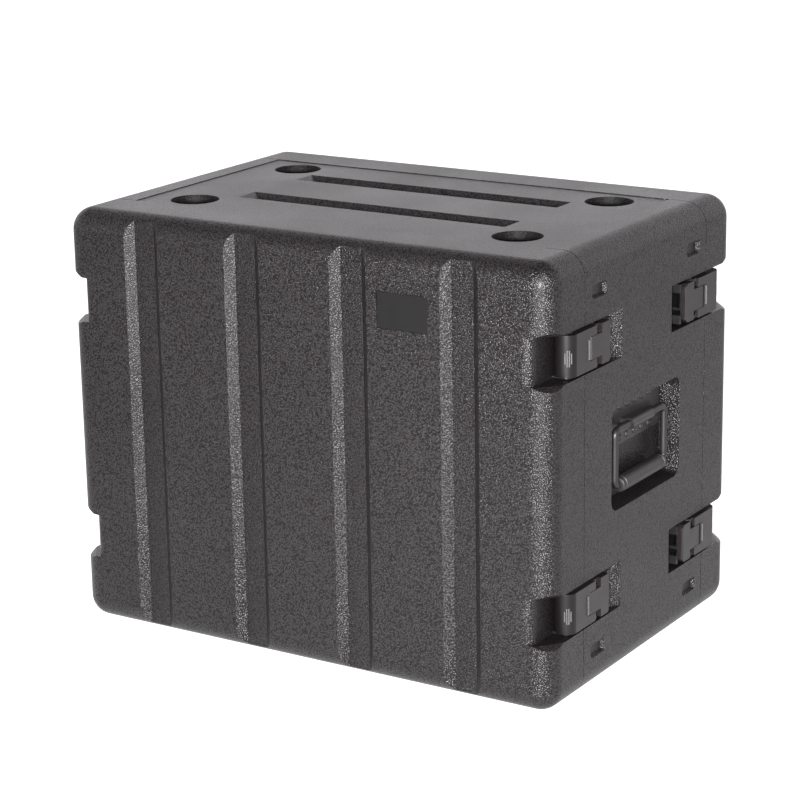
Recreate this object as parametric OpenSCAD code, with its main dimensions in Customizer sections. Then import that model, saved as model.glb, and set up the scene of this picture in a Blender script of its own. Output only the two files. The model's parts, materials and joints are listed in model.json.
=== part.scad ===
// Shallow eight-unit equipment rack case, rotationally moulded.
// A straight body tube with a lid on each open end, eight trigger latches, two
// folding carry handles and four 19-inch rack rails.
// Frame: +X to the right, front lid towards -Y, +Z up, origin on the floor
// under the middle of the case. Millimetres.

/* [Shell] */

// Width over the two side faces
case_w = 610; // [604:1:640]
// Depth over both closed lids
case_d = 420; // [410:1:460]
// Height of the moulded shell, without the feet
case_h = 476; // [472:1:500]
// Depth of each lid, from its face to the seam
lid_d = 71; // [68:1:80]
// Radius of all the outer edges
edge_r = 25; // [20:1:28]
// Wall thickness of the moulding
wall = 6; // [5:0.5:7]
// Height of the rubber feet
foot_h = 6; // [5:0.5:9]

/* [Relief] */

// Centres of the four upright channels in each lid face
channel_x = [-200, -67, 67, 200];
// Width of a channel's floor
channel_floor = 26; // [20:1:30]
// How far a channel's sloped wall runs sideways
channel_run = 9.5; // [6:0.5:11]
// Depth of the channels
channel_depth = 8; // [5:0.5:9]
// Centres of the two stacking grooves in the top
groove_y = [-51, 62];
// Length of a stacking groove at the surface
groove_len = 346; // [300:1:360]
// Width of a stacking groove at the surface
groove_w = 34; // [28:1:38]
// Depth of a stacking groove
groove_depth = 9; // [5:0.5:10]
// Radius of the round stacking sockets
socket_r = 27.5; // [24:0.5:30]
// Depth of the stacking sockets
socket_depth = 10; // [8:0.5:12]

/* [Latches] */

// Height of the latch centres above the shell's underside
latch_z = [101, 375];
// Half height of the lever and trigger
lever_half = 22; // [20:0.5:22]
// How far the latch plate stands out of the side face
latch_proud = 2.5; // [0.5:0.5:4]
// Depth of the latch recess below the side face
latch_depth = 22; // [22:0.5:23]

/* [Handles] */

// Width of the handle pocket along the side
pocket_w = 158; // [150:1:164]
// Height of the handle pocket
pocket_h = 112; // [106:1:116]
// Depth of the handle pocket
pocket_depth = 22; // [20:0.5:24]
// Diameter of the bail's steel rod
bail_d = 8; // [7:0.5:8]
// Diameter of the rubber grip
grip_d = 17; // [15:0.5:17]

/* [Rack] */

// Height in rack units
rack_units = 8; // [6:1:8]
// Distance between the left and right columns of rack holes
rack_span = 465.1;
// Radius of the tapped rack holes
rack_hole_r = 2.4; // [2.2:0.1:2.8]

/* [Hidden] */

$fn = 64;

half_w = case_w / 2;
half_d = case_d / 2;
seam_y = half_d - lid_d;
seam_gap = 0.45;
body_end = seam_y - seam_gap;
lid_end = seam_y + seam_gap;
tongue_len = 8.6;
tongue_inset = 3.4;
rebate_inset = 3;
rebate_len = 11.5;
gasket_t = 2.9;
unit_h = 44.45;
rack_h = rack_units * unit_h;
mid_z = case_h / 2;
eps = 1;

// latch geometry, as distances out from the middle of the side face
floor_x = half_w - latch_depth;
plate_x = half_w + latch_proud;
recess_half = 25;
recess_slope = 0.03;
recess_in = 79;
barrel_r = 12;
barrel_y = 160;
barrel_x = plate_x - barrel_r;
pivot_y = 112.5;
pivot_x = plate_x - 8;
pivot_r = 2;
pin_r = 2.5;
fit = 0.05;
cheek_t = 3.5;
cheek_in = lever_half - cheek_t;
plate_t = 4;

// handle geometry
bail_x = half_w - 8;
bail_bend = 7;
hinge_z = 268;
grip_z = 207;
arm_y = 57;
knuckle_r = 6;
knuckle_half = 24.5;
plate_in = half_w - pocket_depth;

// rail geometry
rail_face = seam_y - 3;
rail_t = 2.5;
rail_in = 221;
rail_out = 247;
rail_deep = 46;
rail_len = rack_h + 64;
boss_y = 108;
boss_z = [44.5, mid_z, case_h - 44.5];
boss_r = 17;
bolt_r = 3;
foot_x = 206;
foot_y = 101;
foot_r = 20;
label_x = 133;
label_z = 409.5;
label_w = 61.5;
label_h = 39.5;

// ---- placement ----

// lifts the shell onto its feet
module up() { translate([0, 0, foot_h]) children(); }

// children are drawn at the right front corner (+X, -Y)
module corner(sx, sy) {
    if (sx > 0 && sy < 0) children();
    else if (sx < 0 && sy < 0) mirror([1, 0, 0]) children();
    else if (sx > 0) mirror([0, 1, 0]) children();
    else rotate([0, 0, 180]) children();
}

module latch_at(sx, sy, z) { up() corner(sx, sy) translate([0, 0, z]) children(); }

module each_latch(sy) {
    for (sx = [1, -1], z = latch_z) corner(sx, sy) translate([0, 0, z]) children();
}

// extrudes an XZ outline from y = -a towards y = -b
module along_y(a, b) { translate([0, -a, 0]) rotate([90, 0, 0]) linear_extrude(b - a) children(); }

// a rod along Y between y0 and y1
module rod_y(x, z, r, y0, y1) {
    translate([x, y1, z]) rotate([90, 0, 0]) cylinder(h = y1 - y0, r = r);
}

// a rod along X between x0 and x1
module rod_x(y, z, r, x0, x1) {
    translate([x0, y, z]) rotate([0, 90, 0]) cylinder(h = x1 - x0, r = r);
}

// a box given by its lower and upper corners
module span(a, b) { translate(a) cube(b - a); }

// ---- shell outlines ----

module round_rect(w, h, r) {
    square([w - 2 * r, h], center = true);
    square([w, h - 2 * r], center = true);
    for (i = [-1, 1], j = [-1, 1]) translate([i * (w / 2 - r), j * (h / 2 - r)]) circle(r);
}

module plain_outline(inset) {
    translate([0, mid_z]) round_rect(case_w - 2 * inset, case_h - 2 * inset, edge_r - inset);
}

// half of the latch recess's section, grown by g
module recess_section(g) {
    low = recess_half + g * (sqrt(1 + recess_slope * recess_slope) - recess_slope);
    high = low + recess_slope * (latch_depth + g + eps);
    polygon([[floor_x - g, -low], [half_w + eps, -high], [half_w + eps, high], [floor_x - g, low]]);
}

module seam_outline(inset) {
    difference() {
        plain_outline(inset);
        for (s = [0, 1], z = latch_z) mirror([s, 0]) translate([0, z]) recess_section(inset);
    }
}

// ---- pockets ----

// latch recess: open through the lid face, sloped at its inner end
module latch_recess(g) {
    inner = recess_in - g * (sqrt(2) - 1);
    run = latch_depth + g + eps;
    intersection() {
        along_y(recess_in - run - 2 * g, half_d + 4) recess_section(g);
        translate([0, 0, -80]) linear_extrude(160)
            polygon([[floor_x - g, -inner], [half_w + eps, -inner + run],
                [half_w + eps, -half_d - 3], [floor_x - g, -half_d - 3]]);
    }
    for (s = [0, 1]) mirror([0, 0, s]) recess_flare(g);
}

// the recess's upper wall leans back near the lid face, past a plane through three points
module recess_flare(g) {
    at_edge = [half_w, -182, recess_half + recess_slope * latch_depth];
    at_face = [half_w, -half_d - 1, 37.3];
    at_floor = [floor_x, -half_d - 1, recess_half];
    across = cross(at_face - at_edge, at_floor - at_edge);
    n = across / norm(across);
    intersection() {
        translate(at_edge - g * n) rotate([0, acos(n[2]), atan2(n[1], n[0])])
            translate([-100, -100, 0]) cube([200, 200, 100]);
        span([floor_x - g, -half_d - 3, 12], [half_w + eps, -165, 60]);
    }
}

// rounds the recess floor into the lid face
module recess_lip() {
    r = barrel_r;
    low = recess_half - recess_slope * r;
    intersection() {
        along_y(half_d - r, half_d + 2)
            polygon([[floor_x - r, -low], [floor_x + eps, -recess_half - recess_slope],
                [floor_x + eps, recess_half + recess_slope], [floor_x - r, low]]);
        difference() {
            span([floor_x - r, -half_d - 1.5, -60], [floor_x + eps, -half_d + r, 60]);
            translate([floor_x - r, -half_d + r, -70]) cylinder(h = 140, r = r);
        }
    }
}

// pocket sunk from z = 0 down, drafted on all sides, with rounded corners
module drafted_pocket(w, h, r, depth, draft) {
    k = draft / depth;
    for (a = [0, 90]) {
        p = a == 0 ? w / 2 : h / 2;
        q = a == 0 ? h - 2 * r : w - 2 * r;
        rotate([0, 0, a]) rotate([90, 0, 0]) translate([0, 0, -q / 2]) linear_extrude(q)
            polygon([[-p + draft, -depth], [p - draft, -depth], [p + k, 1], [-p - k, 1]]);
    }
    for (i = [-1, 1], j = [-1, 1]) translate([i * (w / 2 - r), j * (h / 2 - r), -depth])
        cylinder(h = depth + 1, r1 = r - draft, r2 = r + k);
}

// turns a pocket to sink it into the right side face at (y, z)
module in_side(y, z) { translate([half_w, y, z]) rotate([90, 0, 90]) children(); }

module handle_pocket(g) {
    in_side(0, 241) drafted_pocket(pocket_w + 2 * g, pocket_h + 2 * g, 12 + g, pocket_depth + g, 4);
}

module side_marks() {
    for (y = [-boss_y, boss_y], z = [boss_z[0], boss_z[2]])
        in_side(y, z) drafted_pocket(31, 15, 4, 4, 2.5);
}

module sockets(g) {
    for (x = [-foot_x, foot_x], y = [-foot_y, foot_y])
        translate([x, y, case_h - socket_depth - g])
            cylinder(h = socket_depth + g + eps, r1 = socket_r - 2.5 + g, r2 = socket_r + g);
}

// long groove with sloped sides and sloped ends
module grooves(g) {
    d = groove_depth + g;
    slope = 8 / groove_depth;
    end_slope = 20 / groove_depth;
    for (y = groove_y) intersection() {
        translate([-half_w, y, case_h]) rotate([90, 0, 90]) linear_extrude(case_w)
            polygon([[-groove_w / 2 - g - slope, eps], [groove_w / 2 + g + slope, eps],
                [groove_w / 2 + g - slope * d, -d], [-groove_w / 2 - g + slope * d, -d]]);
        translate([0, y + 60, case_h]) rotate([90, 0, 0]) linear_extrude(120)
            polygon([[-groove_len / 2 - g - end_slope, eps], [groove_len / 2 + g + end_slope, eps],
                [groove_len / 2 + g - end_slope * d, -d], [-groove_len / 2 - g + end_slope * d, -d]]);
    }
}

// the top panel between the sockets lies a little lower than the side bands
module top_panel() {
    span([-260, -body_end - eps, case_h - 0.8], [260, body_end + eps, case_h + eps]);
}

// ---- body tube ----

module rail_bosses() {
    for (s = [0, 1]) mirror([s, 0, 0]) for (y = [-boss_y, boss_y], z = boss_z)
        rod_x(y, z, boss_r, rail_out, half_w);
}

module body_shell() {
    color([0.20, 0.19, 0.20]) up() difference() {
        union() {
            along_y(-body_end, body_end) plain_outline(0);
            along_y(-body_end - tongue_len, body_end + tongue_len) plain_outline(tongue_inset);
        }
        for (sy = [-1, 1]) each_latch(sy) latch_recess(0);
        for (sy = [-1, 1]) each_latch(sy) intersection() {
            latch_recess(tongue_inset);
            span([0, -half_d, -60], [half_w + eps, -body_end, 60]);
        }
        for (s = [0, 1]) mirror([s, 0, 0]) {
            handle_pocket(0);
            side_marks();
        }
        top_panel();
        sockets(0);
        grooves(0);
        difference() {
            along_y(-half_d, half_d) plain_outline(wall);
            for (sy = [-1, 1]) each_latch(sy) latch_recess(wall);
            for (s = [0, 1]) mirror([s, 0, 0]) handle_pocket(wall);
            rail_bosses();
            sockets(wall);
            grooves(wall);
        }
        for (s = [0, 1]) mirror([s, 0, 0]) for (y = [-boss_y, boss_y], z = boss_z)
            rod_x(y, z, 4.5, rail_out - eps, rail_out + 14);
        for (x = [-foot_x, foot_x], y = [-foot_y, foot_y])
            translate([x, y, -eps]) cylinder(h = 5 + eps, r = 2.4);
    }
}

// ---- lids ----

// lid block with every outer edge rounded, shrunk by the inset
module lid_block(inset, open_y) {
    r = edge_r - inset;
    cx = half_w - edge_r;
    cy = half_d - edge_r;
    along_y(open_y, cy) plain_outline(inset);
    span([-cx, -half_d + inset, edge_r], [cx, -cy, case_h - edge_r]);
    for (z = [edge_r, case_h - edge_r]) {
        rod_x(-cy, z, r, -cx, cx);
        for (x = [-cx, cx]) translate([x, -cy, z]) sphere(r);
    }
    for (x = [-cx, cx]) translate([x, -cy, edge_r]) cylinder(h = case_h - 2 * edge_r, r = r);
}

// upright channel section cut into the lid face, grown by g
module channels(g) {
    k = channel_run / channel_depth;
    f = channel_floor / 2 + g * (sqrt(1 + k * k) - k);
    top = f + k * (channel_depth + g + eps);
    for (x = channel_x) translate([x, 0, -eps]) linear_extrude(case_h + 2 * eps)
        polygon([[-f, -half_d + channel_depth + g], [f, -half_d + channel_depth + g],
            [top, -half_d - eps], [-top, -half_d - eps]]);
}

// drawn as the front lid
module lid_shell(with_label) {
    difference() {
        lid_block(0, lid_end);
        each_latch(-1) latch_recess(0);
        each_latch(-1) recess_lip();
        channels(0);
        if (with_label)
            span([label_x - label_w / 2, -half_d - eps, label_z - label_h / 2],
                [label_x + label_w / 2, -half_d + 1, label_z + label_h / 2]);
        difference() {
            lid_block(wall, lid_end - eps);
            each_latch(-1) latch_recess(wall);
            channels(wall);
        }
        along_y(lid_end - eps, seam_y + rebate_len) seam_outline(rebate_inset);
    }
}

module front_lid() { color([0.20, 0.19, 0.20]) up() lid_shell(true); }
module rear_lid() { color([0.20, 0.19, 0.20]) up() mirror([0, 1, 0]) lid_shell(false); }

// sealing ring on the shoulder inside the lid's rim
module gasket() {
    y = seam_y + rebate_len;
    color([0.07, 0.07, 0.07]) along_y(y - gasket_t, y) difference() {
        seam_outline(3.2);
        seam_outline(5.6);
    }
}

module front_gasket() { up() gasket(); }
module rear_gasket() { up() mirror([0, 1, 0]) gasket(); }

// blank plate in the shallow recess of the front lid
module label_plate() {
    color([0.12, 0.12, 0.12]) up() span([label_x - label_w / 2 + 0.5, -half_d + 0.3, label_z - label_h / 2 + 0.5],
        [label_x + label_w / 2 - 0.5, -half_d + 1, label_z + label_h / 2 - 0.5]);
}

// ---- rack rails ----

// angle rail at the right front, tapped at the three standard heights of each unit
module rail() {
    z0 = mid_z - rail_len / 2;
    color([0.10, 0.10, 0.11]) up() difference() {
        union() {
            span([rail_in, -rail_face, z0], [rail_out, -rail_face + rail_t, z0 + rail_len]);
            span([rail_out - rail_t, -rail_face, z0], [rail_out, -rail_face + rail_deep, z0 + rail_len]);
        }
        for (u = [0 : rack_units - 1], h = [6.35, 22.225, 38.1])
            rod_y(rack_span / 2, mid_z - rack_h / 2 + u * unit_h + h, rack_hole_r,
                -rail_face - eps, -rail_face + rail_t + eps);
        for (z = boss_z) rod_x(-boss_y, z, bolt_r, rail_out - rail_t - eps, rail_out + eps);
    }
}

module rail_front_right() { rail(); }
module rail_front_left() { mirror([1, 0, 0]) rail(); }
module rail_rear_right() { mirror([0, 1, 0]) rail(); }
module rail_rear_left() { rotate([0, 0, 180]) rail(); }

// domed bolt heads inside the rails, shanks run into brass inserts in the bosses
module rail_bolts() {
    head_x = rail_out - rail_t;
    color([0.35, 0.35, 0.36]) up() for (sx = [1, -1], sy = [-1, 1], z = boss_z) corner(sx, sy) {
        difference() {
            union() {
                rod_x(-boss_y, z, 5.2, head_x - 3.2, head_x);
                rod_x(-boss_y, z, bolt_r, head_x - 1, rail_out + 12);
            }
            translate([head_x - 3.2 - eps, -boss_y, z]) rotate([0, 90, 0])
                cylinder(h = 2 + eps, r = 2.3, $fn = 6);
        }
    }
}

module rail_inserts() {
    color([0.72, 0.58, 0.30]) up() for (sx = [1, -1], sy = [-1, 1], z = boss_z) corner(sx, sy)
        difference() {
            rod_x(-boss_y, z, 4.5, rail_out, rail_out + 14);
            rod_x(-boss_y, z, bolt_r, rail_out - eps, rail_out + 12);
        }
}

// ---- latches, drawn for the right front corner with z = 0 at the latch centre ----

// lever: flat plate with two cheeks, ending in the hinge barrel
module lever() {
    color([0.16, 0.15, 0.16]) difference() {
        union() {
            span([plate_x - plate_t, -barrel_y, -lever_half], [plate_x, -117, lever_half]);
            translate([barrel_x, -barrel_y, -lever_half]) cylinder(h = 2 * lever_half, r = barrel_r);
            for (s = [0, 1]) mirror([0, 0, s]) {
                span([barrel_x - 2.5, -barrel_y, cheek_in], [plate_x - plate_t, -pivot_y, lever_half]);
                translate([pivot_x, -pivot_y, cheek_in]) cylinder(h = cheek_t, r = 5.5);
            }
        }
        span([plate_x - plate_t - eps, -132.3, -12.5], [plate_x + eps, -117 + eps, 12.5]);
        translate([pivot_x, -pivot_y, -lever_half - eps])
            cylinder(h = 2 * lever_half + 2 * eps, r = pivot_r + fit);
        translate([barrel_x, -barrel_y, -lever_half - eps])
            cylinder(h = 2 * lever_half + 2 * eps, r = pin_r + fit);
    }
}

// trigger: T-shaped rocker on two stub axles in the lever's cheeks
module trigger() {
    top = plate_x;
    head_low = plate_x - 7;
    boss_half = cheek_in - 0.35;
    color([0.16, 0.15, 0.16]) {
        difference() {
            span([head_low, -106, -21.5], [top, -87, 21.5]);
            for (s = [0, 1]) mirror([0, 0, s]) translate([0, -87, 21.5]) rotate([45, 0, 0])
                cube([2 * half_w + 20, 5, 5], center = true);
            translate([top, -87, 0]) rotate([0, 0, 45]) cube([2, 2, 60], center = true);
        }
        translate([0, 0, -12]) linear_extrude(24)
            polygon([[top, -106 + eps], [top, -128], [top - 4.5, -131.5], [top - 4.5, -106 + eps]]);
        difference() {
            translate([pivot_x, -pivot_y, -boss_half]) cylinder(h = 2 * boss_half, r = 4.6);
            span([top - 4.5 + 0.1, -130, -60], [top + 10, -100, -12]);
            span([top - 4.5 + 0.1, -130, 12], [top + 10, -100, 60]);
        }
        span([pivot_x - 1, -pivot_y, -boss_half + 4], [top - 4, -104, boss_half - 4]);
        translate([pivot_x, -pivot_y, -lever_half + 0.5])
            cylinder(h = 2 * lever_half - 1, r = pivot_r);
        span([pivot_x - 3, -100, -8], [head_low + eps, -96, 8]);
    }
}

// U bracket on the lid that carries the lever's hinge pin
module bracket() {
    ear_in = lever_half + 0.4;
    ear_out = ear_in + 2.2;
    color([0.12, 0.12, 0.12]) difference() {
        union() {
            span([floor_x, -147, -ear_out], [floor_x + 2.5, -141, ear_out]);
            for (s = [0, 1]) mirror([0, 0, s]) {
                span([floor_x, -166, ear_in], [barrel_x, -141, ear_out]);
                translate([barrel_x, -barrel_y, ear_in]) cylinder(h = 2.2, r = 6);
            }
        }
        translate([barrel_x, -barrel_y, -ear_out - eps]) cylinder(h = 2 * ear_out + 2 * eps, r = pin_r);
        for (z = [-12, 12]) rod_x(-144, z, 1.6, floor_x - eps, floor_x + 2.5 + eps);
    }
}

module hinge_pin() {
    half = lever_half + 2.6;
    color([0.62, 0.62, 0.64]) translate([barrel_x, -barrel_y, -half]) cylinder(h = 2 * half, r = pin_r);
}

// shank through the bracket or keeper with a low domed head
module rivet(y, z) {
    rod_x(y, z, 1.6, floor_x, floor_x + 2.5);
    rod_x(y, z, 2.9, floor_x + 2.5, floor_x + 3.9);
}

// keeper on the body: base, two guard ears and two posts that carry the strike pin
module keeper() {
    color([0.12, 0.12, 0.12]) difference() {
        union() {
            span([floor_x, -108, -lever_half], [floor_x + 2.5, -80, lever_half]);
            for (s = [0, 1]) mirror([0, 0, s]) {
                span([floor_x, -84, 12.5], [half_w - 2, -80, lever_half]);
                span([floor_x, -106, 9], [plate_x - 12, -100, 12]);
            }
        }
        translate([plate_x - 14, -103, -20]) cylinder(h = 40, r = 1.8);
        for (z = [-17, 17]) rod_x(-93, z, 1.6, floor_x - eps, floor_x + 2.5 + eps);
    }
}

module strike_pin() {
    color([0.62, 0.62, 0.64]) translate([plate_x - 14, -103, -12]) cylinder(h = 24, r = 1.8);
}

module latch_keepers() { up() for (sy = [-1, 1]) each_latch(sy) keeper(); }
module strike_pins() { up() for (sy = [-1, 1]) each_latch(sy) strike_pin(); }
module keeper_rivets() {
    color([0.45, 0.45, 0.46]) up() for (sy = [-1, 1]) each_latch(sy) for (z = [-17, 17]) rivet(-93, z);
}
module brackets_front() { up() each_latch(-1) bracket(); }
module brackets_rear() { up() each_latch(1) bracket(); }
module hinge_pins_front() { up() each_latch(-1) hinge_pin(); }
module hinge_pins_rear() { up() each_latch(1) hinge_pin(); }
module bracket_rivets_front() {
    color([0.45, 0.45, 0.46]) up() each_latch(-1) for (z = [-12, 12]) rivet(-144, z);
}
module bracket_rivets_rear() {
    color([0.45, 0.45, 0.46]) up() each_latch(1) for (z = [-12, 12]) rivet(-144, z);
}

// ---- handles, drawn for the right side ----

module handle_rivet_points() {
    for (y = [-41.25 : 16.5 : 41.25], z = [251, 285]) translate([0, y, z]) children();
}

// fixed plate with the rolled knuckle that the bail turns in
module handle_plate() {
    color([0.13, 0.13, 0.14]) difference() {
        union() {
            span([plate_in, -67, 244], [plate_in + 3, 67, 291]);
            span([plate_in, -knuckle_half, hinge_z - 4.2], [bail_x - 2, knuckle_half, hinge_z + 4.2]);
            rod_y(bail_x, hinge_z, knuckle_r, -knuckle_half, knuckle_half);
        }
        rod_y(bail_x, hinge_z, bail_d / 2 + fit, -knuckle_half - eps, knuckle_half + eps);
        handle_rivet_points() rod_x(0, 0, 1.6, plate_in - eps, plate_in + 3 + eps);
    }
}

module handle_rivets() {
    color([0.30, 0.30, 0.31]) up() for (s = [0, 1]) mirror([s, 0, 0]) handle_rivet_points() {
        rod_x(0, 0, 1.6, plate_in, plate_in + 3);
        rod_x(0, 0, 3.7, plate_in + 3, plate_in + 4.6);
    }
}

// closed ring of steel rod: hinge bar above, grip bar below
module bail() {
    r = bail_d / 2;
    b = bail_bend;
    mid = (hinge_z + grip_z) / 2;
    color([0.15, 0.15, 0.16]) for (z = [hinge_z, grip_z]) rod_y(bail_x, z, r, -arm_y + b, arm_y - b);
    color([0.15, 0.15, 0.16]) for (s = [0, 1]) mirror([0, s, 0]) {
        translate([bail_x, arm_y, grip_z + b]) cylinder(h = hinge_z - grip_z - 2 * b, r = r);
        for (t = [0, 1]) translate([bail_x, 0, mid]) mirror([0, 0, t])
            translate([0, arm_y - b, (hinge_z - grip_z) / 2 - b]) rotate([90, 0, 90])
                rotate_extrude(angle = 90) translate([b, 0]) circle(r);
    }
}

module grip() {
    color([0.11, 0.11, 0.12]) difference() {
        rod_y(bail_x, grip_z, grip_d / 2, -arm_y + bail_bend, arm_y - bail_bend);
        rod_y(bail_x, grip_z, bail_d / 2, -arm_y, arm_y);
    }
}

module handle_plate_right() { up() handle_plate(); }
module handle_plate_left() { up() mirror([1, 0, 0]) handle_plate(); }
module bail_right() { up() bail(); }
module bail_left() { up() mirror([1, 0, 0]) bail(); }
module grip_right() { up() grip(); }
module grip_left() { up() mirror([1, 0, 0]) grip(); }

// ---- feet ----

module at_feet() { for (x = [-foot_x, foot_x], y = [-foot_y, foot_y]) translate([x, y, 0]) children(); }

module feet() {
    color([0.08, 0.08, 0.08]) at_feet() difference() {
        cylinder(h = foot_h, r1 = foot_r - 1.5, r2 = foot_r);
        translate([0, 0, -eps]) cylinder(h = foot_h + 2 * eps, r = 2.4);
        translate([0, 0, -eps]) cylinder(h = 3.5 + eps, r = 6);
    }
}

module foot_screws() {
    color([0.45, 0.45, 0.46]) at_feet() {
        translate([0, 0, 1]) cylinder(h = 2.5, r = 4.8);
        translate([0, 0, 1.5]) cylinder(h = foot_h + 3.5, r = 2.4);
    }
}

body_shell();
front_lid();
rear_lid();
front_gasket();
rear_gasket();
label_plate();
rail_front_left();
rail_front_right();
rail_rear_left();
rail_rear_right();
rail_bolts();
rail_inserts();
latch_keepers();
strike_pins();
keeper_rivets();
brackets_front();
brackets_rear();
hinge_pins_front();
hinge_pins_rear();
bracket_rivets_front();
bracket_rivets_rear();
latch_at(1, -1, latch_z[0]) lever();  // lever_fr_low
latch_at(1, -1, latch_z[1]) lever();  // lever_fr_high
latch_at(-1, -1, latch_z[0]) lever();  // lever_fl_low
latch_at(-1, -1, latch_z[1]) lever();  // lever_fl_high
latch_at(1, 1, latch_z[0]) lever();  // lever_rr_low
latch_at(1, 1, latch_z[1]) lever();  // lever_rr_high
latch_at(-1, 1, latch_z[0]) lever();  // lever_rl_low
latch_at(-1, 1, latch_z[1]) lever();  // lever_rl_high
latch_at(1, -1, latch_z[0]) trigger();  // trigger_fr_low
latch_at(1, -1, latch_z[1]) trigger();  // trigger_fr_high
latch_at(-1, -1, latch_z[0]) trigger();  // trigger_fl_low
latch_at(-1, -1, latch_z[1]) trigger();  // trigger_fl_high
latch_at(1, 1, latch_z[0]) trigger();  // trigger_rr_low
latch_at(1, 1, latch_z[1]) trigger();  // trigger_rr_high
latch_at(-1, 1, latch_z[0]) trigger();  // trigger_rl_low
latch_at(-1, 1, latch_z[1]) trigger();  // trigger_rl_high
handle_plate_right();
handle_plate_left();
handle_rivets();
bail_right();
bail_left();
grip_right();
grip_left();
feet();
foot_screws();
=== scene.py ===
# %% [markdown]
# # An eight-unit rack case
# A shallow 19-inch rack case of black polyethylene: one moulded tube, a lid on each end,
# trigger latches at the corners and a folding handle on each side. The CAD parts are
# loaded first. They fix every size and place, and each later cell only gives them a
# finish or puts a more detailed piece over one of them.

# %% Load the CAD parts
import json
import math
import bpy
from mathutils import Matrix, Vector

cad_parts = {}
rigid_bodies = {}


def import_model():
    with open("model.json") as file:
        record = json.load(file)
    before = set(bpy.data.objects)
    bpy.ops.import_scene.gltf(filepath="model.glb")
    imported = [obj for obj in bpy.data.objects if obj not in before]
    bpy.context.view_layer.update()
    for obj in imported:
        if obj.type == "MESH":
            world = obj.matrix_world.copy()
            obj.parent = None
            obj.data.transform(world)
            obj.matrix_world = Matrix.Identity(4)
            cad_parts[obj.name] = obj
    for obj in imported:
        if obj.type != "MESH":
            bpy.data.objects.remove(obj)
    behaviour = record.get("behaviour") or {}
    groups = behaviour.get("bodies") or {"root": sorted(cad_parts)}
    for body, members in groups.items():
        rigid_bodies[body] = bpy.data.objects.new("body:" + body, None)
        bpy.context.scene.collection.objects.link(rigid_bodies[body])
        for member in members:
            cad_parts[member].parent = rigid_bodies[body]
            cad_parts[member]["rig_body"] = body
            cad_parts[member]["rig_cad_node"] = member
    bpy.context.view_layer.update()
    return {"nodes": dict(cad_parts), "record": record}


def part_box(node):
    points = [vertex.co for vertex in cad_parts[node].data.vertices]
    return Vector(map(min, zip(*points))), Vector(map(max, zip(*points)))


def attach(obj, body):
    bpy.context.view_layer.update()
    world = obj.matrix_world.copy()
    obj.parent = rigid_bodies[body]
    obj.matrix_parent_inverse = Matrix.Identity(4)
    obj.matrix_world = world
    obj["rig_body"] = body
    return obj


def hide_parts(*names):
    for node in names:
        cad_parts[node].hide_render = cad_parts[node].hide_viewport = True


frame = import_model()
nodes, record = frame["nodes"], frame["record"]
bodies = record["behaviour"]["bodies"]
body_of = {node: body for body, members in bodies.items() for node in members}
slot_of = {entry["node"]: entry["material_slot"] for entry in record["subparts"]}
hinge_of = {joint["child"]: joint["pos_m"] for joint in record["behaviour"]["joints"]}

# %% [markdown]
# ## Colour and nodes
# Paint charts give colours as sRGB hex values, but shaders add light in linear values, so
# one function converts. A second one adds any shader node with its settings and links,
# which keeps each material short enough to read as a recipe.

# %% Helpers for materials
def linear(code):
    """'#2b2a2c' as a linear RGBA colour."""
    parts = [int(code[i:i + 2], 16) / 255 for i in (1, 3, 5)]
    return [p / 12.92 if p <= 0.04045 else ((p + 0.055) / 1.055) ** 2.4 for p in parts] + [1.0]


def add(tree, kind, links=(), values=(), **settings):
    """A node with attributes, socket values {socket: value} and links {socket: output}."""
    node = tree.nodes.new(kind)
    for key, value in settings.items():
        setattr(node, key, value)
    for socket, value in dict(values).items():
        node.inputs[socket].default_value = value
    for socket, output in dict(links).items():
        tree.links.new(output, node.inputs[socket])
    return node


def new_material(name, colour, roughness, metallic=0.0, ior=1.5):
    """A material and its tree, with the plain settings on the shader itself."""
    made = bpy.data.materials.new(name)
    made.use_nodes = True
    shader = made.node_tree.nodes["Principled BSDF"]
    shader.inputs["Base Color"].default_value = linear(colour)
    shader.inputs["Roughness"].default_value = roughness
    shader.inputs["Metallic"].default_value = metallic
    if not metallic:
        shader.inputs["IOR"].default_value = ior
    return made, made.node_tree, shader


def tinted(tree, shader, factor, colour, darker, lighter):
    """Drives the base colour between a darker and a lighter shade of one colour."""
    ends = [[c * share for c in linear(colour)[:3]] + [1.0] for share in (darker, lighter)]
    tint = add(tree, "ShaderNodeMixRGB", {"Fac": factor}, {"Color1": ends[0], "Color2": ends[1]})
    tree.links.new(tint.outputs["Color"], shader.inputs["Base Color"])

print("sRGB #808080 is linear", round(linear("#808080")[0], 3))

# %% [markdown]
# ## Grained polyethylene
# Rotational moulding melts powder onto the inside of a hot steel mould, and the mould's
# etched pebble grain prints into the skin. The real pebbles are about 1.5 mm across, and
# here they are drawn a little coarser so that they show. Polyethylene has an IOR near 1.5
# and a waxy half-gloss, so on black nearly all the light comes from small tilted facets:
# a Voronoi pattern makes round pebbles, a smooth step gives each a low top and rounded
# sides, and the bump tilts the surface between them. Crevices lie in their neighbours'
# shade and mirror less. A slow noise varies the gloss and the tint, as handling does.

# %% Material: rotationally moulded polyethylene, pebble grain
PEBBLE = 0.0017


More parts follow.
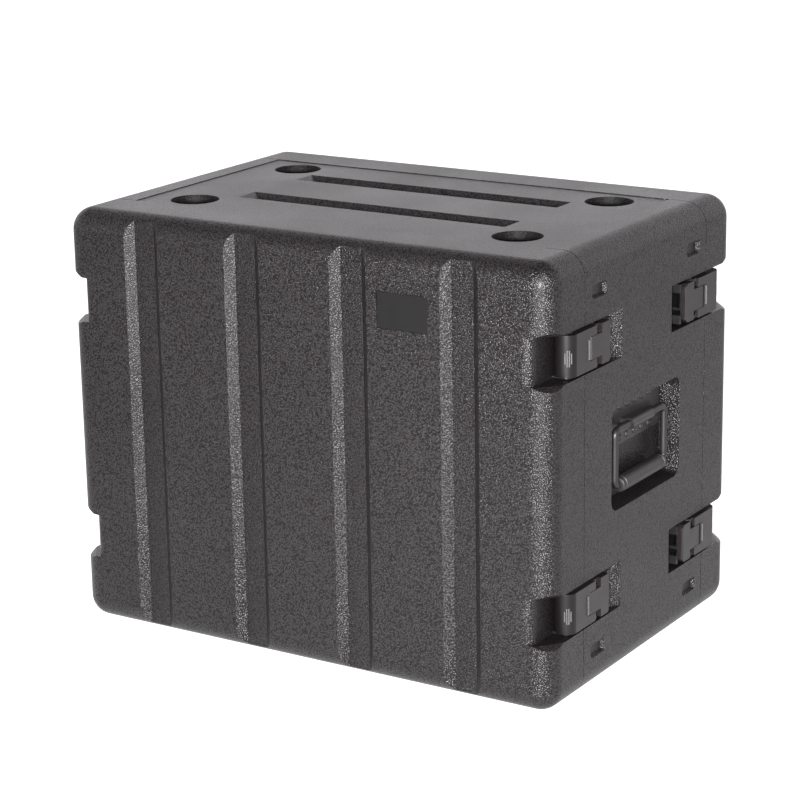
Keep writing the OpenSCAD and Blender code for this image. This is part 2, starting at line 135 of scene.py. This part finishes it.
def grained(name, colour, roughness, depth, gloss=0.6):
    """Pebbled skin, with the pebbles' depth in metres."""
    made, tree, shader = new_material(name, colour, roughness, ior=1.5)
    place = add(tree, "ShaderNodeTexCoord").outputs["Object"]
    drift = add(tree, "ShaderNodeTexNoise", {"Vector": place}, {"Scale": 240, "Detail": 2})
    shifted = add(tree, "ShaderNodeMixRGB", {"Color1": place, "Color2": drift.outputs["Color"]},
                  {"Fac": 0.0018}, blend_type="ADD")
    pebbles = add(tree, "ShaderNodeTexVoronoi", {"Vector": shifted.outputs["Color"]},
                  {"Scale": 1 / PEBBLE, "Smoothness": 0.3}, feature="SMOOTH_F1")
    domed = add(tree, "ShaderNodeMapRange", {"Value": pebbles.outputs["Distance"]},
                {"From Min": 0.15, "From Max": 0.65, "To Min": 1.0, "To Max": 0.0},
                interpolation_type="SMOOTHSTEP")
    fine = add(tree, "ShaderNodeTexNoise", {"Vector": place}, {"Scale": 1300, "Detail": 2})
    height = add(tree, "ShaderNodeMixRGB", {"Color1": domed.outputs["Result"], "Color2": fine.outputs["Fac"]},
                 {"Fac": 0.2})
    bump = add(tree, "ShaderNodeBump", {"Height": height.outputs["Color"]},
               {"Strength": 1.0, "Distance": depth})
    tree.links.new(bump.outputs["Normal"], shader.inputs["Normal"])
    crevice = add(tree, "ShaderNodeMapRange", {"Value": pebbles.outputs["Distance"]},
                  {"From Min": 0.30, "From Max": 0.70, "To Min": gloss, "To Max": 0.37 * gloss})
    tree.links.new(crevice.outputs["Result"], shader.inputs["Specular IOR Level"])
    cloud = add(tree, "ShaderNodeTexNoise", {"Vector": place}, {"Scale": 9, "Detail": 5})
    worn = add(tree, "ShaderNodeMapRange", {"Value": cloud.outputs["Fac"]},
               {"From Min": 0.3, "From Max": 0.7, "To Min": roughness - 0.03, "To Max": roughness + 0.05})
    tree.links.new(worn.outputs["Result"], shader.inputs["Roughness"])
    tinted(tree, shader, cloud.outputs["Fac"], colour, 0.85, 1.2)
    return made

shell_skin = grained("rotomoulded_polyethylene", "#110e0f", 0.33, 0.0004)
# Painted shade: a darker, duller skin for the insides of the stacking sockets.
socket_shade_skin = grained("scuffed_polyethylene", "#0c0a0b", 0.55, 0.0003, gloss=0.25)
print("pebbles", PEBBLE * 1000, "mm across")

# %% [markdown]
# ## Latch nylon, rubber and metals
# The latches are injection moulded glass-filled nylon: smooth, satin, a little mauve
# against the shell. Rubber is rougher. The bail and rails are steel under thin black
# coatings, and the pins and rivets are bare or zinc plated, which is a metal, so it keeps
# the default IOR. A fine noise breaks each gloss, because no real surface is even, and
# ground steel has its noise stretched along the rod, as the wheel leaves it.

# %% Materials: satin plastics, rubber and metals
def satin(name, colour, roughness, grain_mm, depth_mm, metallic=0.0, stretch=(1, 1, 1), gloss=0.5):
    """Smooth skin with a fine speckle; stretch scales the speckle along X, Y and Z."""
    made, tree, shader = new_material(name, colour, roughness, metallic)
    place = add(tree, "ShaderNodeTexCoord").outputs["Object"]
    scaled = add(tree, "ShaderNodeMapping", {"Vector": place}, {"Scale": stretch})
    speck = add(tree, "ShaderNodeTexNoise", {"Vector": scaled.outputs["Vector"]},
                {"Scale": 1000 / grain_mm, "Detail": 3})
    bump = add(tree, "ShaderNodeBump", {"Height": speck.outputs["Fac"]},
               {"Strength": 1.0, "Distance": depth_mm / 1000})
    tree.links.new(bump.outputs["Normal"], shader.inputs["Normal"])
    haze = add(tree, "ShaderNodeTexNoise", {"Vector": scaled.outputs["Vector"]}, {"Scale": 60, "Detail": 4})
    spread = add(tree, "ShaderNodeMapRange", {"Value": haze.outputs["Fac"]},
                 {"From Min": 0.3, "From Max": 0.7, "To Min": roughness - 0.05, "To Max": roughness + 0.06})
    tree.links.new(spread.outputs["Result"], shader.inputs["Roughness"])
    tinted(tree, shader, haze.outputs["Fac"], colour, 0.85, 1.15)
    shader.inputs["Specular IOR Level"].default_value = gloss
    return made

latch_nylon = satin("glass_filled_nylon", "#191517", 0.38, 0.9, 0.05)
# Painted shade: a darker, less glossy nylon for the lever barrels and the upright faces behind the hinge.
barrel_shade_nylon = satin("glass_filled_nylon_rubbed", "#0f0d0e", 0.36, 0.9, 0.04, gloss=0.28)
# Painted highlight: a pale nylon for the barrel ridges and the stop rib, where light catches them.
ridge_highlight_nylon = satin("nylon_rubbed_pale", "#4b494a", 0.4, 0.9, 0.03)
keeper_nylon = satin("glass_filled_nylon_dark", "#131213", 0.42, 0.9, 0.04)
smooth_plastic = satin("smooth_polyethylene", "#0b0a0b", 0.6, 1.5, 0.06, gloss=0.24)
seal_rubber = satin("epdm_rubber", "#131313", 0.7, 0.8, 0.04)
grip_rubber = satin("grip_rubber", "#1b1719", 0.45, 1.1, 0.07)
rail_coat = satin("black_electrocoat_steel", "#161617", 0.38, 0.8, 0.01)
plate_coat = satin("black_powder_coat", "#1d1a1c", 0.42, 1.2, 0.06)
bail_coat = satin("black_satin_steel", "#161314", 0.42, 0.9, 0.02)
zinc = satin("zinc_plate", "#9a9b9d", 0.34, 0.6, 0.01, metallic=1.0)
pin_steel = satin("ground_steel", "#a4a4a6", 0.28, 0.6, 0.006, metallic=1.0, stretch=(1, 1, 0.05))
brass = satin("turned_brass", "#b9975b", 0.3, 0.6, 0.006, metallic=1.0)
finishes = {
    "grained_polyethylene": shell_skin, "latch_nylon": latch_nylon, "smooth_plastic": smooth_plastic,
    "black_rubber": seal_rubber, "grip_rubber": grip_rubber, "black_rail_steel": rail_coat,
    "black_plate_steel": plate_coat, "bail_steel": bail_coat, "black_rivets": plate_coat,
    "zinc_steel": zinc, "pin_steel": pin_steel, "brass": brass}
for name, part in nodes.items():
    part.data.materials.clear()
    part.data.materials.append(finishes[slot_of[name]])
for name in ("latch_keepers", "brackets_front", "brackets_rear"):
    nodes[name].data.materials[0] = keeper_nylon
print(len(finishes), "finishes on", len(nodes), "parts")

# %% [markdown]
# ## Softened edges
# Moulded plastic has no sharp edge: a mould's corners are cut with a round tool, and the
# skin shrinks a little as it cools. The CAD faces meet in exact edges, so a copy of each
# moulded part is merged, its flat triangles are dissolved into whole faces, and every
# edge sharper than 28 degrees gets a rounded bevel. Weighted normals then let each large
# flat face keep its own direction, so that only the narrow bevels shade as curves.

# %% Helper: a copy with rounded edges
def softened(node, width, segments=2, angle=28):
    """A merged copy of a CAD part with every edge sharper than the angle rounded."""
    bpy.ops.object.select_all(action="DESELECT")
    piece = nodes[node].copy()
    piece.data = nodes[node].data.copy()
    piece.name = piece.data.name = node + "_moulded"
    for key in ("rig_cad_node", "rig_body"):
        if key in piece:
            del piece[key]
    piece.parent = None
    bpy.context.scene.collection.objects.link(piece)
    bpy.context.view_layer.objects.active = piece
    piece.select_set(True)
    bpy.ops.object.mode_set(mode="EDIT")
    bpy.ops.mesh.select_all(action="SELECT")
    bpy.ops.mesh.remove_doubles(threshold=0.00001)
    bpy.ops.mesh.dissolve_limited(angle_limit=math.radians(0.6))
    bpy.ops.object.mode_set(mode="OBJECT")
    rounding = piece.modifiers.new("rounding", "BEVEL")
    rounding.width, rounding.segments = width, segments
    rounding.limit_method, rounding.angle_limit = "ANGLE", math.radians(angle)
    rounding.use_clamp_overlap = True
    rounding.miter_outer = "MITER_ARC"
    bpy.ops.object.modifier_apply(modifier="rounding")
    finish_piece(piece, node)
    return piece


def finish_piece(piece, *stands_for, body=None, slot=None, angle=40):
    """Smooth shading with weighted normals, then the piece is handed to its body."""
    bpy.ops.object.select_all(action="DESELECT")
    bpy.context.view_layer.objects.active = piece
    piece.select_set(True)
    bpy.ops.object.shade_smooth_by_angle(angle=math.radians(angle))
    weighted = piece.modifiers.new("weighted", "WEIGHTED_NORMAL")
    weighted.keep_sharp, weighted.weight = True, 90
    bpy.ops.object.modifier_apply(modifier="weighted")
    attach(piece, body or body_of[stands_for[0]])
    if stands_for:
        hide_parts(*stands_for)

SHELL_BEVEL = 0.0016
for node in ("body_shell", "front_lid", "rear_lid"):
    piece = softened(node, SHELL_BEVEL)
    print(piece.name, len(piece.data.polygons), "faces")

# %% [markdown]
# ## Scuffed sockets
# The sockets in the top are recesses that lie in shade, so the faces below the rim of each
# socket take a darker, duller skin: painted shade.

# %% Painted shade inside the stacking sockets
SOCKET_X, SOCKET_Y, SOCKET_RADIUS, SOCKET_DEPTH = 0.206, 0.101, 0.0285, 0.022
PANEL_DROP = 0.0009
tube = bpy.data.objects["body_shell_moulded"]
# Painted shade: the darker, duller skin goes on the faces inside the sockets.
tube.data.materials.append(socket_shade_skin)
top_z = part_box("body_shell")[1][2]
for face in tube.data.polygons:
    x, y, z = face.center
    inside = math.hypot(abs(x) - SOCKET_X, abs(y) - SOCKET_Y) < SOCKET_RADIUS
    if inside and top_z - SOCKET_DEPTH < z < top_z - PANEL_DROP:
        face.material_index = 1
print(sum(face.material_index for face in tube.data.polygons), "faces in the sockets")

# %% [markdown]
# ## The small parts get finer edges
# An edge's radius follows the thickness of the wall behind it, so the latches, brackets,
# plates and feet take bevels of 0.3 to 0.8 mm, where the shells have 1.6 mm.

# %% Latch parts, handle plates, feet and label with rounded edges
widths = {"lever_": 0.0007, "trigger_": 0.0006, "latch_keepers": 0.0004, "brackets_": 0.0004,
          "handle_plate_": 0.0005, "feet": 0.0008, "label_plate": 0.0003}
for node in nodes:
    for start, width in widths.items():
        if node.startswith(start):
            softened(node, width)
print("small moulded parts rounded")

# %% [markdown]
# ## Ridges on the lever barrels
# A thumb pushes the barrel of each lever back into its seat, so the mould gives it a small
# patch of upright ridges. The barrel takes a darker nylon as painted shade, and the ridges a
# pale one as a painted highlight. Each ridge is a stretched ball: a sphere is the start, its
# upper half is moved up and its lower half down in edit mode. The middle ridges are longer
# than the outer ones, so that the patch is oval. A longer pale rib of the same kind, a painted
# highlight, stands across the plate where the trigger's stem ends, on a low base of darker
# nylon that paints the shade of the gap beside it. Every piece rides with its own lever.

# %% Ridge patches
def ridge(x, y, z, radius, half):
    """A ball at (x, y, z) stretched up and down by half."""
    bpy.ops.object.select_all(action="DESELECT")
    bpy.ops.mesh.primitive_uv_sphere_add(segments=12, ring_count=8, radius=radius, location=(x, y, z))
    made = bpy.context.object
    bpy.ops.object.transform_apply(location=True, rotation=True, scale=True)
    for above in (True, False):
        bpy.ops.object.mode_set(mode="EDIT")
        bpy.ops.mesh.select_mode(type="VERT")
        bpy.ops.mesh.select_all(action="DESELECT")
        bpy.ops.object.mode_set(mode="OBJECT")
        for vertex in made.data.vertices:
            vertex.select = (vertex.co.z - z > 0.00001) == above
        bpy.ops.object.mode_set(mode="EDIT")
        bpy.ops.transform.translate(value=(0, 0, half if above else -half))
        bpy.ops.object.mode_set(mode="OBJECT")
    return made


def joined(parts, name, material):
    """The parts as one mesh with one material."""
    bpy.ops.object.select_all(action="DESELECT")
    for part in parts:
        part.select_set(True)
    bpy.context.view_layer.objects.active = parts[0]
    if len(parts) > 1:
        bpy.ops.object.join()
    whole = parts[0]
    whole.name = whole.data.name = name
    whole.data.materials.clear()
    whole.data.materials.append(material)
    return whole

RIDGE_OUT, RIDGE_RADIUS, RIDGE_DROP = 0.01135, 0.0010, 0.002
RIDGES = ((36, 0.0050), (47, 0.0080), (58, 0.0080), (69, 0.0050))
# Painted shade: a low dark base under the stop rib stands for the shade of the gap beside the stem's end.
STOP_SHADE_BASE = (0.3068, 0.1352, 0.0019, 0.0102)
STOP_RIB = (0.3080, 0.1350, 0.0011, 0.0096)


def on_lever(node, name, parts, material):
    """Joins the parts and hands the piece to the lever's body."""
    piece = joined(parts, name + node.removeprefix("lever"), material)
    finish_piece(piece, body=body_of[node], slot="latch_nylon", angle=60)

for node in [n for n in nodes if n.startswith("lever_")]:
    hinge_x, hinge_y, middle_z = hinge_of[body_of[node]]
    sx, sy = math.copysign(1, hinge_x), math.copysign(1, hinge_y)
    ridges = []
    for turn, half in RIDGES:
        a = math.radians(turn)
        ridges.append(ridge(hinge_x + sx * RIDGE_OUT * math.cos(a), hinge_y + sy * RIDGE_OUT * math.sin(a),
                            middle_z - RIDGE_DROP, RIDGE_RADIUS, half))
    # The ridges take the pale nylon as a painted highlight.
    on_lever(node, "ridges", ridges, ridge_highlight_nylon)
    # The stop rib is pale as a painted highlight; its base is dark as painted shade.
    for name, (x, y, radius, half), material in (("stop_base", STOP_SHADE_BASE, keeper_nylon),
                                                 ("stop_rib", STOP_RIB, ridge_highlight_nylon)):
        on_lever(node, name, [ridge(sx * x, sy * y, middle_z, radius, half)], material)
    moulded = bpy.data.objects[node + "_moulded"]
    # Painted shade: the barrel and the upright faces behind the hinge take the darker nylon.
    moulded.data.materials.append(barrel_shade_nylon)
    for face in moulded.data.polygons:
        past_hinge = abs(face.center.y) > abs(hinge_y)
        behind = abs(face.normal.z) < 0.5 and abs(face.center.x) < abs(hinge_x)
        if past_hinge or behind:
            face.material_index = 1
print("ridge patches and stop ribs on 8 levers")

# %% [markdown]
# ## Folding handles
# The grip is a rubber sleeve with rounded ends and a groove near each end, where the
# mould's end plugs met it. A turned shape is a profile spun round an axis, and here it is
# built as rings: one circle is extruded along the rod again and again, and scaled to the
# next radius each time, then the last ring runs back through the bore to close the sleeve.

# %% Helper: a turned sleeve along Y, and the two grips
def turned(x, z, profile, bore, segments=32):
    """profile is [(y, radius), ...] from one end to the other, round the axis at (x, z)."""
    bpy.ops.object.select_all(action="DESELECT")
    y, radius = profile[0]
    bpy.ops.mesh.primitive_circle_add(vertices=segments, radius=bore, location=(x, y, z),
                                      rotation=(math.radians(90), 0, 0))
    made = bpy.context.object
    bpy.ops.object.transform_apply(location=True, rotation=True, scale=True)
    bpy.ops.object.mode_set(mode="EDIT")
    bpy.ops.mesh.select_all(action="SELECT")
    current, at = bore, y
    for next_y, next_radius in profile + [(profile[-1][0], bore), (profile[0][0], bore)]:
        bpy.ops.mesh.extrude_region_move(TRANSFORM_OT_translate={"value": (0, next_y - at, 0)})
        ratio = next_radius / current
        bpy.ops.transform.resize(value=(ratio, 1, ratio), center_override=(x, next_y, z))
        current, at = next_radius, next_y
    bpy.ops.mesh.select_all(action="SELECT")
    bpy.ops.mesh.remove_doubles(threshold=0.00002)
    bpy.ops.mesh.normals_make_consistent(inside=False)
    bpy.ops.object.mode_set(mode="OBJECT")
    return made

BORE = 0.0041
half_profile = [(0.0000, 0.0066), (0.0006, 0.0078), (0.0020, 0.0084), (0.0052, 0.0085), (0.0056, 0.0079),
                (0.0066, 0.0079), (0.0070, 0.0085), (0.0095, 0.0085)]
for side, sx in (("right", 1), ("left", -1)):
    low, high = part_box("grip_" + side)
    x, z = (low[0] + high[0]) / 2, (low[2] + high[2]) / 2
    profile = [(low[1] + y, r) for y, r in half_profile]
    profile += [(high[1] - y, r) for y, r in reversed(half_profile)]
    sleeve = joined([turned(x, z, profile, BORE)], "grip_sleeve_" + side, grip_rubber)
    finish_piece(sleeve, "grip_" + side)
print("grips", round(high[1] - low[1], 4), "m long")

# %% [markdown]
# ## Rivets
# Blind rivets hold the handle plates: a domed head with a small pit where the mandrel
# snapped off. One head is built from a circle by extruding and scaling ring after ring,
# over the dome and down into the pit, and it is then copied to the other places.

# %% Blind rivet heads on the handle plates
HEAD_RADIUS, HEAD_HEIGHT = 0.0037, 0.0016
ROW_SPACING, IN_ROW = 0.0165, 6
RINGS = ((0.0005, 0.0037), (0.0006, 0.0032), (0.0004, 0.0024), (0.0001, 0.0015), (-0.0006, 0.0013))


def rivet_head(x, y, z, sx):
    """A head with its flat base at (x, y, z), facing +X or -X."""
    bpy.ops.object.select_all(action="DESELECT")
    bpy.ops.mesh.primitive_circle_add(vertices=20, radius=HEAD_RADIUS, fill_type="NGON", location=(x, y, z),
                                      rotation=(0, math.radians(90), 0))
    made = bpy.context.object
    bpy.ops.object.transform_apply(location=True, rotation=True, scale=True)
    bpy.ops.object.mode_set(mode="EDIT")
    bpy.ops.mesh.select_all(action="SELECT")
    current, at = HEAD_RADIUS, x
    for rise, radius in RINGS:
        at += sx * rise
        bpy.ops.mesh.extrude_region_move(TRANSFORM_OT_translate={"value": (sx * rise, 0, 0)})
        bpy.ops.transform.resize(value=(1, radius / current, radius / current), center_override=(at, y, z))
        current = radius
    bpy.ops.mesh.select_all(action="SELECT")
    bpy.ops.mesh.normals_make_consistent(inside=False)
    bpy.ops.object.mode_set(mode="OBJECT")
    return made

low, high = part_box("handle_rivets")
rows_z = (low[2] + HEAD_RADIUS, high[2] - HEAD_RADIUS)
for side, sx in (("right", 1), ("left", -1)):
    heads = []
    master = rivet_head(sx * (high[0] - HEAD_HEIGHT), low[1] + HEAD_RADIUS, rows_z[0], sx)
    for z in rows_z:
        for n in range(IN_ROW):
            head = master.copy()
            head.data = master.data.copy()
            bpy.context.scene.collection.objects.link(head)
            for vertex in head.data.vertices:
                vertex.co += Vector((0, ROW_SPACING * n, z - rows_z[0]))
            heads.append(head)
    bpy.data.objects.remove(master)
    whole = joined(heads, "rivet_heads_" + side, plate_coat)
    finish_piece(whole, body="case", slot="black_rivets")
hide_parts("handle_rivets")
print(4 * IN_ROW, "rivet heads")

# %% [markdown]
# ## Studio
# Black plastic shows almost only what it mirrors, so the light is built around what each
# face sees. The floor is a light table that glows less to the far left and right, which
# the front and the side mirror as a slow fade. Only rays that come straight from the
# camera see it as plain white. A pale band of sky near the horizon gives the top its
# sheen, and the dark sky overhead gives the rounded front edge its dark line. One small
# lamp beside the camera makes the grain sparkle on the near corner. The glow of a spot on
# the floor follows its slant: the way sideways from the middle of the view, over the way
# ahead of the camera.

# %% The light table
VIEW_DISTANCE, LEAST_DEPTH = 2.76, 0.4
FLOOR_RADIUS, PLAIN_WHITE = 30, (0.95, 0.95, 0.95, 1)
GLOW = ((-0.65, 0.04), (-0.48, 0.12), (-0.38, 0.30), (-0.28, 0.50), (-0.15, 0.66), (0.0, 0.68),
        (0.10, 0.50), (0.15, 0.40), (0.32, 0.38), (0.54, 0.26), (0.80, 0.16))
ahead = Vector((-0.5331, 0.8459, 0.0))
across = Vector((0.8459, 0.5331, 0.0))
bpy.ops.object.select_all(action="DESELECT")
bpy.ops.mesh.primitive_circle_add(vertices=96, radius=FLOOR_RADIUS, fill_type="NGON", location=(0, 0, 0))
floor = bpy.context.object
floor.name = "studio_floor"
paper, paper_tree, paper_shader = new_material("white_light_table", "#bcbbbb", 0.8)
spot = add(paper_tree, "ShaderNodeTexCoord").outputs["Object"]
sideways = add(paper_tree, "ShaderNodeVectorMath", {0: spot}, {1: across}, operation="DOT_PRODUCT")
away = add(paper_tree, "ShaderNodeVectorMath", {0: spot}, {1: ahead}, operation="DOT_PRODUCT")
depth = add(paper_tree, "ShaderNodeMath", {0: away.outputs["Value"]}, {1: VIEW_DISTANCE}, operation="ADD")
depth = add(paper_tree, "ShaderNodeMath", {0: depth.outputs[0]}, {1: LEAST_DEPTH}, operation="MAXIMUM")
slant = add(paper_tree, "ShaderNodeMath", {0: sideways.outputs["Value"], 1: depth.outputs[0]},
            operation="DIVIDE")
place = add(paper_tree, "ShaderNodeMapRange", {"Value": slant.outputs[0]},
            {"From Min": -1.0, "From Max": 1.0})
glow = add(paper_tree, "ShaderNodeValToRGB", {"Fac": place.outputs["Result"]})
while len(glow.color_ramp.elements) < len(GLOW):
    glow.color_ramp.elements.new(0.5)
for element, (slant_at, level) in zip(glow.color_ramp.elements, GLOW):
    element.position = (slant_at + 1) / 2
    element.color = (level, level, level, 1)
seen = add(paper_tree, "ShaderNodeLightPath").outputs["Is Camera Ray"]
strength = add(paper_tree, "ShaderNodeMixRGB", {"Fac": seen, "Color1": glow.outputs["Color"]},
               {"Color2": PLAIN_WHITE})
paper_shader.inputs["Emission Color"].default_value = (1, 1, 1, 1)
paper_tree.links.new(strength.outputs["Color"], paper_shader.inputs["Emission Strength"])
floor.data.materials.append(paper)
print("floor glows at", len(GLOW), "slants")

# %% [markdown]
# ## The sky
# The world's colour depends only on height: white at the horizon, then dimmer and dimmer
# towards the zenith, which stands in for a wide softbox hung low and a dark ceiling.

# %% The sky
SKY = ((0.0, 1.0), (0.34, 1.0), (0.52, 0.48), (0.78, 0.28), (1.0, 0.08))
SKY_STRENGTH, SKY_GREEN = 1.4, 0.975
sky = bpy.data.worlds.new("studio_sky")
bpy.context.scene.world = sky
sky.use_nodes = True
sky_tree = sky.node_tree
direction = add(sky_tree, "ShaderNodeTexCoord").outputs["Generated"]
height = add(sky_tree, "ShaderNodeSeparateXYZ", {"Vector": direction}).outputs["Z"]
band = add(sky_tree, "ShaderNodeValToRGB", {"Fac": height})
while len(band.color_ramp.elements) < len(SKY):
    band.color_ramp.elements.new(0.5)
for element, (at, level) in zip(band.color_ramp.elements, SKY):
    element.position = at
    element.color = (level, level * SKY_GREEN, level, 1)
sky_tree.links.new(band.outputs["Color"], sky_tree.nodes["Background"].inputs["Color"])
sky_tree.nodes["Background"].inputs["Strength"].default_value = SKY_STRENGTH
print("sky has", len(SKY), "levels")

# %% [markdown]
# ## Lamp and camera
# The lamp is a small softbox just beside the lens, so its mirror image lands on the near
# corner. The camera is set by three directions and a place: right, upward and backward
# fill the columns of its matrix. A long lens from 2.9 metres away keeps the upright edges
# nearly parallel, as in a product catalogue.

# %% Lamp and camera
CASE_MIDDLE = Vector((0, 0, 0.244))
LAMP_SIDE, LAMP_POWER, LAMP_DISTANCE = 0.24, 240, 3.0
LAMP_WAY = Vector((0.501, -0.839, 0.214))
SENSOR_MM, LENS_MM = 36, 114.201
CAMERA_PLACE = (1.4729, -2.3207, 1.0351)

light = bpy.data.lights.new("camera_side_lamp", "AREA")
light.shape, light.size, light.energy = "SQUARE", LAMP_SIDE, LAMP_POWER
holder = bpy.data.objects.new("camera_side_lamp", light)
holder.location = CASE_MIDDLE + LAMP_DISTANCE * LAMP_WAY
holder.rotation_euler = (-LAMP_WAY).to_track_quat("-Z", "Y").to_euler()
bpy.context.scene.collection.objects.link(holder)

right = Vector((0.8459, 0.5331, -0.0164))
upward = Vector((-0.1326, 0.2401, 0.9617))
back = right.cross(upward).normalized()
upward = back.cross(right).normalized()
lens = bpy.data.cameras.new("catalogue_camera")
camera = bpy.data.objects.new("catalogue_camera", lens)
bpy.context.scene.collection.objects.link(camera)
camera.matrix_world = Matrix((*zip(right, upward, back, CAMERA_PLACE), (0, 0, 0, 1)))
lens.sensor_width, lens.lens = SENSOR_MM, LENS_MM
lens.clip_end = 100
bpy.context.scene.camera = camera
bpy.context.scene.view_settings.view_transform = "Standard"
print("lens", round(lens.lens, 1), "mm")
